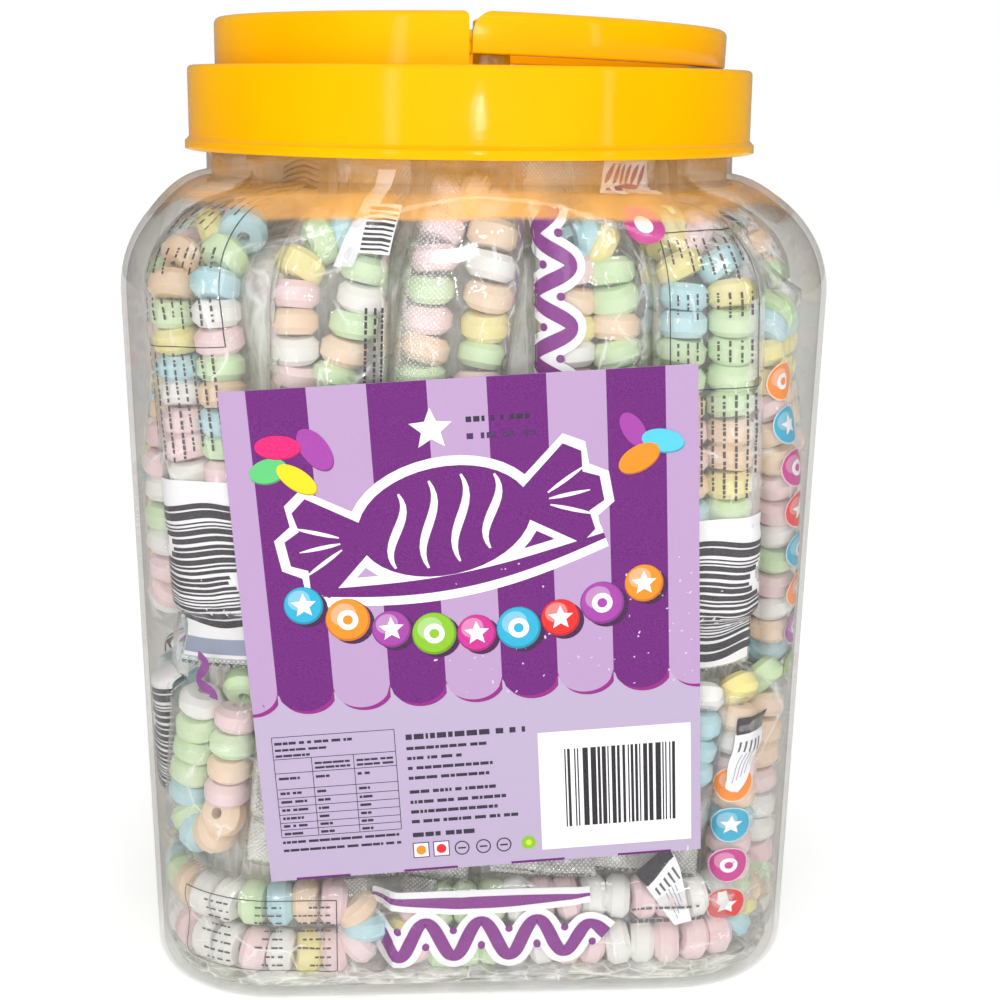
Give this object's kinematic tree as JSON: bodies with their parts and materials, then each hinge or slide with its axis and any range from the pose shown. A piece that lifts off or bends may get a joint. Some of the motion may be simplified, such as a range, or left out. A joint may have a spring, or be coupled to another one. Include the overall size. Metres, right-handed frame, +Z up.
{
  "type": "jar of candy necklaces",
  "caption": "Clear square plastic sweet jar with a round neck, screw lid and fold-down carry handle, a printed front label, and filled with wrapped candy necklaces.",
  "frame": {"origin": "middle of the flat base that the jar stands on", "axes": "+Z up along the jar's height, -Y out of the labelled front, +X towards the side that the carry handle folds down to"},
  "size_m": [0.1606, 0.138, 0.2248],
  "materials": {
    "clear_plastic": "clear, glossy, blow moulded",
    "lid_plastic": "glossy, golden yellow",
    "printed_label": "glossy coated paper, printed in lilac and purple",
    "wrapped_candy": "matte pressed sugar in pastel colours under clear film"
  },
  "bodies": {
    "tub": {"jar": "clear_plastic", "lid": "lid_plastic", "label": "printed_label", "necklaces": "wrapped_candy"},
    "handle": {"handle": "lid_plastic"}
  },
  "joints": [
    {"name": "handle_lift", "type": "hinge", "parent": "tub", "child": "handle", "pos_m": [0.002, 0, 0.22], "axis": [0, -1, 0], "range_deg": [0, 90]}
  ]
}
